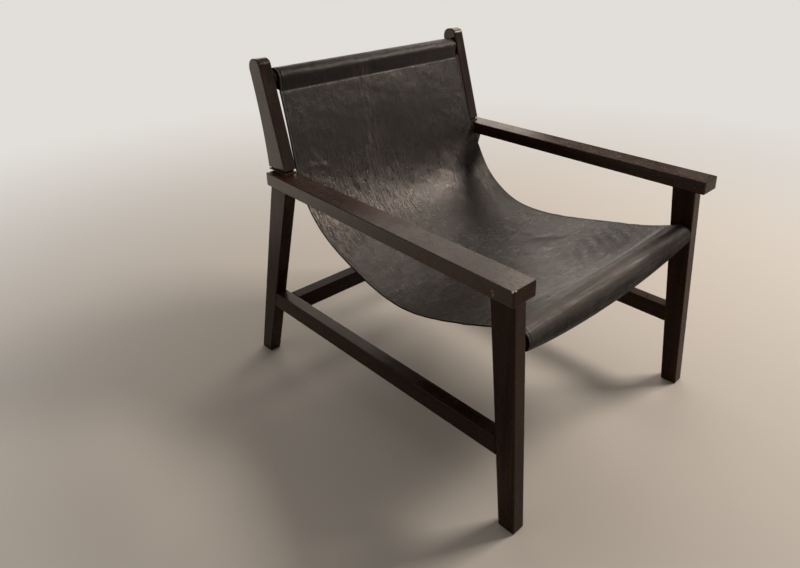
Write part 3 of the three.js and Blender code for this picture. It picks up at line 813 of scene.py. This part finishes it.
def sleeve_round_front():
    """Side view of the sleeve round the front rail and its margin, starting where the seat meets the rail."""
    off = SLEEVE_GAP + LEATHER / 2
    lap = LEATHER + SLEEVE_GAP
    r = RAIL_R + off
    fall = np.array([math.cos(FRONT_FALL), -math.sin(FRONT_FALL)])
    rise = np.array([math.sin(FRONT_FALL), math.cos(FRONT_FALL)])
    rail = np.array(FRONT_RAIL)
    seam = rail + r * rise + SEAM_FRONT * fall - lap * rise
    fold = seam - FOLD_R * rise - FOLD_R * fall
    rear = rail + (r, 0)
    start = 90 - math.degrees(FRONT_FALL)
    pieces = [
        arc(rail, r, start, 180, count=22),
        arc(rail, r, 180, 360, count=30),
        bezier(rear, rear + (0, 1.8 * FOLD_R), fold - 1.4 * FOLD_R * rise, fold, count=7),
        arc(seam - FOLD_R * rise, FOLD_R, 90 + start, start, count=7),
        np.linspace(seam, seam + MARGIN * fall, MARGIN_ROWS),
    ]
    return np.concatenate([pieces[0]] + [piece[1:] for piece in pieces[1:]])


def sling_rows():
    """The side-view lines at the right and left edges, row by row, with each row's place along the sheet."""
    top = sleeve_over_top()
    front = sleeve_round_front()
    right = even_line(RIGHT_EDGE, EDGE_POINTS)
    left = even_line(LEFT_EDGE, EDGE_POINTS)
    hang = (length_along(right)[-1] + length_along(left)[-1]) / 2

    def step(at):
        near_top = math.exp(-(at / TOP_SEAM_ZONE) ** 2)
        near_front = math.exp(-((hang - SEAM_FRONT - at) / FRONT_SEAM_ZONE) ** 2)
        return ROW_STEP - FINER_AT_SEAM * max(near_top, near_front)

    share = stepped(hang, step)[1:-1] / hang
    right_line = np.concatenate([top, sample(right, share), front])
    left_line = np.concatenate([top, sample(left, share), front])
    place = (length_along(right_line) + length_along(left_line)) / 2
    return right_line, left_line, place, len(top) - 1, len(top) + len(share)


def sling_columns():
    """Places across the sheet from -1 to 1, close together at the hems."""
    half = (HALF_TOP + HALF_FRONT) / 2

    def step(at):
        return COLUMN_STEP + COARSER_INSIDE * (1 - math.exp(-(at / HEM_ZONE) ** 2))

    right = -1 + stepped(half, step) / half
    return np.concatenate([right[:-1], [0.0], -right[:-1][::-1]])


def noise_field(seed, size, cell):
    """A smooth random field over the flat sheet, about -1 to 1. size and cell are in millimetres."""
    rng = np.random.default_rng(seed)
    shape = (int(size[0] / cell[0]) + 4, int(size[1] / cell[1]) + 4)
    grid = rng.uniform(-1, 1, shape)

    def read(along, across):
        a = np.clip(along / cell[0], 0, shape[0] - 3)
        b = np.clip(across / cell[1], 0, shape[1] - 3)
        i, j = a.astype(int), b.astype(int)
        fa, fb = a - i, b - j
        fa, fb = fa * fa * (3 - 2 * fa), fb * fb * (3 - 2 * fb)
        low = grid[i, j] * (1 - fb) + grid[i, j + 1] * fb
        high = grid[i + 1, j] * (1 - fb) + grid[i + 1, j + 1] * fb
        return low * (1 - fa) + high * fa
    return read


def surface_normals(points):
    along = np.gradient(points, axis=0)
    across = np.gradient(points, axis=1)
    normal = np.cross(along, across)
    return normal / np.linalg.norm(normal, axis=2, keepdims=True)


def make_sling():
    right_line, left_line, place, seam_row, leave_row = sling_rows()
    u = sling_columns()
    total = place[-1]
    rows = len(place)
    half = HALF_TOP + (HALF_FRONT - HALF_TOP) * place / total
    right_half = half + spread(place, SPREAD_RIGHT)
    left_half = half + spread(place, SPREAD_LEFT)
    own_half = np.where(u < 0, right_half[:, None], left_half[:, None])
    share = (u + 1) / 2
    x = own_half * u[None, :]
    y = right_line[:, None, 0] * (1 - share) + left_line[:, None, 0] * share
    z = right_line[:, None, 1] * (1 - share) + left_line[:, None, 1] * share
    points = np.stack([x, y, z], axis=2)
    full = 1 - u[None, :] ** 2
    along = place[:, None] + 0 * x
    edge = own_half * (1 - np.abs(u))[None, :]
    hang = place[leave_row] - place[seam_row]
    done = np.clip((place - place[seam_row]) / hang, 0, 1)[:, None]
    back = np.clip(place[leave_row] - place, 0, None)
    back[-MARGIN_ROWS:] = SEAM_FRONT + place[-MARGIN_ROWS:] - place[-MARGIN_ROWS]
    back = back[:, None]
    facing = np.ones((rows, 1))
    facing[-MARGIN_ROWS:] = -1.0

    # Sag of the middle, and the dip right behind the front seam, which is sharper on the left
    normal = surface_normals(points)
    belly = BELLY * np.sin(np.pi * done) ** 2 * full
    to_right = smoothstep(0.25, -0.7, u)[None, :]
    dip_length = DIP_LENGTH_LEFT + (DIP_LENGTH_RIGHT - DIP_LENGTH_LEFT) * to_right
    dip = DIP * full ** 1.2 * smoothstep(DIP_START, DIP_START + dip_length, back)
    dip = dip * np.exp(-(back / DIP_REACH) ** 2)
    points -= normal * (facing * (belly + dip))[:, :, None]

    # The front sleeve has stretched: it hangs clear of the rail in the middle
    rail_angle = np.degrees(np.arctan2(front_z(right_line, leave_row), front_y(right_line, leave_row)))
    round_under = np.zeros(rows)
    round_under[leave_row:] = under_share(rail_angle)
    points[:, :, 2] -= DROOP * round_under[:, None] * full ** 0.8
    points[:, :, 1] -= SLEEVE_FORWARD * front_share(right_line, leave_row)[:, None] * full

    # Uneven hide: slow waves, ripples along the tight diagonal of the seat, rucked sleeve ends and creases
    def field(seed, cell):
        return noise_field(seed, (total, 2 * HALF_FRONT), cell)(along, x + HALF_FRONT)

    free = smoothstep(*FREE_FROM_TOP, done) * smoothstep(*FREE_FROM_RAIL, back)
    slow = field(3, (120, 110)) + 0.5 * field(5, (55, 60))
    diagonal = RIPPLE_WAY[0] * (along - place[seam_row]) + RIPPLE_WAY[1] * x
    ripple = np.sin(diagonal / RIPPLE_LENGTH + 2.2 * field(11, (70, 70)))
    seat = smoothstep(*RIPPLED_FROM_TOP, done) * smoothstep(*RIPPLED_FROM_RAIL, back)
    patch = np.clip(field(8, (90, 120)) + 0.25, 0, 1)
    lift = free * (WAVE * slow * full ** 0.5 + RIPPLE * seat * patch * ripple)
    ends = np.exp(-(edge / RUCK_REACH) ** 2)
    on_sleeve = np.zeros(rows)
    on_sleeve[:seam_row] = 1.0
    on_sleeve[leave_row:] = 1.0
    ruck = np.sin(edge * 2 * np.pi / RUCK_PITCH + 2.4 * field(21, (14, 40)))
    lift += on_sleeve[:, None] * ends * RUCK * ruck * smoothstep(1.5, 5.0, edge)
    for knots, width, height in CREASES:
        lift += height * crease(knots, width, x, along)

    # Sewn lines pull the surface in: both hems, and the two cross seams with a roll beside each
    front_seam = place[leave_row] - SEAM_FRONT
    lift += ridge(edge - HEM, HEM_GROOVE)
    lift += ridge(along - place[seam_row] - SEWN_IN, TOP_GROOVE)
    lift += ridge(along - place[seam_row] + ROLL_AWAY, TOP_ROLL)
    lift += ridge(along - front_seam + SEWN_IN, FRONT_GROOVE)
    lift += ridge(along - front_seam - ROLL_AWAY, FRONT_ROLL)
    points += surface_normals(points) * lift[:, :, None]

    outer, inner = both_faces(points, edge, along, total)
    marks = sheet_marks(edge, along, x, place, seam_row, leave_row)
    sling = leather_piece(outer, inner, edge, along, x, marks)
    return sling, sewn_lines(outer, inner, edge, place, seam_row, leave_row), total


def ridge(away, given):
    """A soft ridge, or a groove where its height is negative, from the distance to its line."""
    height, half_width = given
    return height * np.exp(-(away / half_width) ** 2)


def spread(place, given):
    most, centre, length = given
    return most * np.exp(-((place - centre) / length) ** 2)


def crease(knots, width, across, along):
    """A soft ridge along a short line on the flat sheet, fading out at both ends."""
    line = even_line(knots, CREASE_POINTS)
    away = np.full(across.shape, np.inf)
    fade = np.zeros(across.shape)
    for i, (a, b) in enumerate(line):
        apart = np.hypot(across - a, along - b)
        nearer = apart < away
        away[nearer] = apart[nearer]
        fade[nearer] = math.sin(math.pi * (i + 0.5) / len(line))
    return fade * np.exp(-(away / width) ** 2)


def front_y(line, start):
    return line[start:, 0] - FRONT_RAIL[0]


def front_z(line, start):
    return line[start:, 1] - FRONT_RAIL[1]


def under_share(angle):
    """How much a point of the front sleeve hangs, from its angle round the rail: most at the bottom."""
    turned = np.where(angle < 0, angle + 360, angle)
    turned = np.where(turned < 60, turned + 360, turned)
    return np.sin(np.pi * np.clip((turned - HANG_FROM) / HANG_OVER, 0, 1))


def front_share(line, start):
    """How far round towards the front a point of the front sleeve lies, 1 at its foremost line."""
    share = np.zeros(len(line))
    share[start:] = np.clip(-front_y(line, start) / RAIL_R, 0, 1)
    return share


def both_faces(points, edge, along, total):
    """The grain side and the flesh side of the hide, with round cut edges."""
    normal = surface_normals(points)
    inset = np.clip(np.minimum(edge, np.minimum(along, total - along)) / (LEATHER / 2), 0, 1)
    thick = LEATHER / 2 * np.sqrt(1 - (1 - inset) ** 2)
    return points + normal * thick[:, :, None], points - normal * thick[:, :, None]


def sewn_lines(outer, inner, edge, place, seam_row, leave_row):
    """The lines that the thread follows, each as places and directions away from the hide."""
    grain = surface_normals(outer)
    flesh = -surface_normals(inner)
    lines = []

    def across_row(grid, at):
        row = np.searchsorted(place, at)
        share = (at - place[row - 1]) / (place[row] - place[row - 1])
        inside = edge[row] > HEM
        return (grid[row - 1] * (1 - share) + grid[row] * share)[inside]

    def down_hem(grid, left):
        turned = slice(None, None, -1 if left else 1)
        points = []
        for row, away in zip(grid, edge):
            row, away = row[turned][:HEM_COLUMNS], away[turned][:HEM_COLUMNS]
            points.append([np.interp(HEM, away, row[:, k]) for k in range(3)])
        return np.array(points[HEM_END_ROWS:-HEM_END_ROWS])

    for left in (False, True):
        lines.append((down_hem(outer, left), down_hem(grain, left)))
        lines.append((down_hem(inner, left), down_hem(flesh, left)))
    front_seam = place[leave_row] - SEAM_FRONT
    crossings = (
        MARGIN - SEWN_IN,
        place[seam_row] + SEWN_IN,
        front_seam - SEWN_IN,
        place[-1] - MARGIN + SEWN_IN,
    )
    for at in crossings:
        lines.append((across_row(outer, at), across_row(grain, at)))
    return lines


def worn_patch(across, along, centre, wide, long):
    return np.exp(-((across - centre[0]) / wide) ** 2 - ((along - centre[1]) / long) ** 2)


def sheet_marks(edge, along, across, place, seam_row, leave_row):
    """What the finish reads, over the flat sheet: rubbed and scuffed places with their painted sheen,
    sleeves, seat and edges.
    """
    done = np.clip((along - place[seam_row]) / (place[leave_row] - place[seam_row]), 0, 1)
    # The bend and the patch below the arm: worn hide with painted sheen
    bend = np.exp(-((done - BEND_AT) / np.where(done < BEND_AT, BEND_ABOVE, BEND_BELOW)) ** 2)
    bend = bend * (0.2 + 0.8 * smoothstep(0.45, -0.4, across / HALF_FRONT))
    rub_and_sheen = np.clip(0.75 * bend + 1.1 * worn_patch(across, along, *UNDER_ARM), 0, 1)
    # Scuffs, lighter; the one below the arm is a painted highlight
    scuff_and_sheen = np.zeros(along.shape)
    for centre, wide, long, strength in SCUFFS_AND_SHEEN:
        scuff_and_sheen = np.maximum(scuff_and_sheen, strength * worn_patch(across, along, centre, wide, long))
    top_sleeve = 1 - smoothstep(*TOP_SLEEVE, along - place[seam_row])
    front_sleeve = smoothstep(*FRONT_SLEEVE, along - place[leave_row])
    left_sleeve = front_sleeve * smoothstep(*LEFT_SLEEVE, across)
    left_bend = np.exp(-((done - LEFT_BEND_AT) / LEFT_BEND_WIDTH) ** 2)
    left_edge = 0.75 * smoothstep(*LEFT_EDGE_DULL, across) * left_bend
    return {
        "rub_and_sheen": rub_and_sheen,
        "rim": 1 - smoothstep(*RIM, edge),
        "hem": smoothstep(*HEM_OUTSIDE, edge) * (1 - smoothstep(*HEM_INSIDE, edge)),
        "scuff_and_sheen": scuff_and_sheen,
        "dulled": np.maximum(top_sleeve, np.maximum(left_edge, left_sleeve)),
        "front_sleeve": front_sleeve,
        "seat": smoothstep(*SEAT, done) * (1 - front_sleeve),
    }


def leather_piece(outer, inner, edge, along, across, marks):
    """The sheet as one mesh, with what the finish reads stored on it."""
    rows, columns = edge.shape
    border = np.zeros((rows, columns), bool)
    border[[0, -1], :] = True
    border[:, [0, -1]] = True
    outer_id = np.arange(rows * columns).reshape(rows, columns)
    inner_id = outer_id.copy()
    inner_id[~border] = rows * columns + np.arange((~border).sum())
    vertices = np.concatenate([outer.reshape(-1, 3), inner[~border]]) * MM
    vertices[:, 1] += ARM_FRONT_Y

    def quads(ids, flip):
        a, b, c, d = ids[:-1, :-1], ids[1:, :-1], ids[1:, 1:], ids[:-1, 1:]
        order = (a, d, c, b) if flip else (a, b, c, d)
        return np.stack([k.ravel() for k in order], axis=1)

    faces = np.concatenate([quads(outer_id, False), quads(inner_id, True)])
    mesh = mesh_from("leather_sling_sheet", vertices, faces.tolist())

    def both(values):
        return np.concatenate([values.ravel(), values[~border]])

    flat_along = both(along) * MM
    flat_across = both(across) * MM
    layer = mesh.uv_layers.new(name="flat")
    corner = np.zeros(len(mesh.loops), np.int32)
    mesh.loops.foreach_get("vertex_index", corner)
    layer.data.foreach_set("uv", np.stack([flat_across[corner], flat_along[corner]], axis=1).ravel())

    stored = {name: both(values) for name, values in marks.items()}
    stored["flesh"] = np.concatenate([np.zeros(border.size), np.ones((~border).sum())])
    for name in MARKS:
        store = mesh.attributes.new(name, "FLOAT", "POINT")
        store.data.foreach_set("value", stored[name].astype(np.float32))
    return new_object("leather_sling_sheet", mesh)


# Thread

def stitch_tree(thread):
    """Geometry nodes that lay one stitch after another along a line, each turned with the hide under it."""
    tree = bpy.data.node_groups.new("sewn_stitches", "GeometryNodeTree")
    tree.interface.new_socket("Line", in_out="INPUT", socket_type="NodeSocketGeometry")
    for label in ("Pitch", "Length", "Thickness", "Unevenness"):
        tree.interface.new_socket(label, in_out="INPUT", socket_type="NodeSocketFloat")
    tree.interface.new_socket("Seed", in_out="INPUT", socket_type="NodeSocketInt")
    tree.interface.new_socket("Stitches", in_out="OUTPUT", socket_type="NodeSocketGeometry")
    s = Shade(tree)
    given = s.node("NodeGroupInput").outputs
    curve = s.node("GeometryNodeMeshToCurve")
    s.feed(curve.inputs["Mesh"], given["Line"])
    spaced = s.node("GeometryNodeResampleCurve", mode="LENGTH")
    s.feed(spaced.inputs["Curve"], curve.outputs["Curve"])
    s.feed(spaced.inputs["Length"], given["Pitch"])
    along = s.node("FunctionNodeAlignRotationToVector", axis="X")
    s.feed(along.inputs["Vector"], s.node("GeometryNodeInputTangent").outputs["Tangent"])
    up = s.node("GeometryNodeInputNamedAttribute", data_type="FLOAT_VECTOR")
    up.inputs["Name"].default_value = "up"
    upright = s.node("FunctionNodeAlignRotationToVector", axis="Z", pivot_axis="X")
    s.feed(upright.inputs["Rotation"], along.outputs["Rotation"])
    s.feed(upright.inputs["Vector"], up.outputs["Attribute"])
    uneven = s.node("FunctionNodeRandomValue", data_type="FLOAT")
    s.feed(uneven.inputs[2], s.math("SUBTRACT", 1.0, given["Unevenness"]))
    s.feed(uneven.inputs[3], s.math("ADD", 1.0, given["Unevenness"]))
    s.feed(uneven.inputs["Seed"], given["Seed"])
    size = s.node("ShaderNodeCombineXYZ")
    s.feed(size.inputs["X"], s.math("MULTIPLY", given["Length"], uneven.outputs[1]))
    s.feed(size.inputs["Y"], given["Thickness"])
    s.feed(size.inputs["Z"], given["Thickness"])
    bead = s.node("GeometryNodeMeshUVSphere")
    bead.inputs["Segments"].default_value = 6
    bead.inputs["Rings"].default_value = 5
    bead.inputs["Radius"].default_value = 0.5
    laid = s.node("GeometryNodeInstanceOnPoints")
    s.feed(laid.inputs["Points"], spaced.outputs["Curve"])
    s.feed(laid.inputs["Instance"], bead.outputs["Mesh"])
    s.feed(laid.inputs["Rotation"], upright.outputs["Rotation"])
    s.feed(laid.inputs["Scale"], size.outputs["Vector"])
    real = s.node("GeometryNodeRealizeInstances")
    s.feed(real.inputs["Geometry"], laid.outputs["Instances"])
    finished = s.node("GeometryNodeSetMaterial")
    s.feed(finished.inputs["Geometry"], real.outputs["Geometry"])
    finished.inputs["Material"].default_value = thread
    s.feed(s.node("NodeGroupOutput").inputs["Stitches"], finished.outputs["Geometry"])
    return tree


def sew(lines):
    points = np.concatenate([places for places, ups in lines]) * MM
    points[:, 1] += ARM_FRONT_Y
    edges = []
    start = 0
    for places, ups in lines:
        edges += [(start + i, start + i + 1) for i in range(len(places) - 1)]
        start += len(places)
    guide = bpy.data.meshes.new("sewn_line")
    guide.from_pydata([tuple(p) for p in points], edges, [])
    up = guide.attributes.new("up", "FLOAT_VECTOR", "POINT")
    up.data.foreach_set("vector", np.concatenate([ups for places, ups in lines]).astype(np.float32).ravel())
    thing = new_object("leather_sling_stitches", guide)
    tree = stitch_tree(thread_finish())
    modifier = thing.modifiers.new("stitches", "NODES")
    modifier.node_group = tree
    values = {
        "Pitch": STITCH_PITCH,
        "Length": STITCH_LENGTH,
        "Thickness": STITCH_THICKNESS,
        "Unevenness": STITCH_UNEVENNESS,
        "Seed": STITCH_SEED,
    }
    for socket in tree.interface.items_tree:
        if socket.in_out == "INPUT" and socket.name in values:
            modifier[socket.identifier] = values[socket.name]
    view = bpy.context.evaluated_depsgraph_get()
    made = bpy.data.meshes.new_from_object(thing.evaluated_get(view))
    thing.modifiers.clear()
    thing.data = made
    made.polygons.foreach_set("use_smooth", [True] * len(made.polygons))
    return thing


make_camera()
make_light()
make_floor()
finish_frame()

sling, thread_lines, sheet_length = make_sling()
sling.data.materials.append(leather_finish())
stitches = sew(thread_lines)
for piece in (sling, stitches):
    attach(piece, "root")
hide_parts("leather_sling")
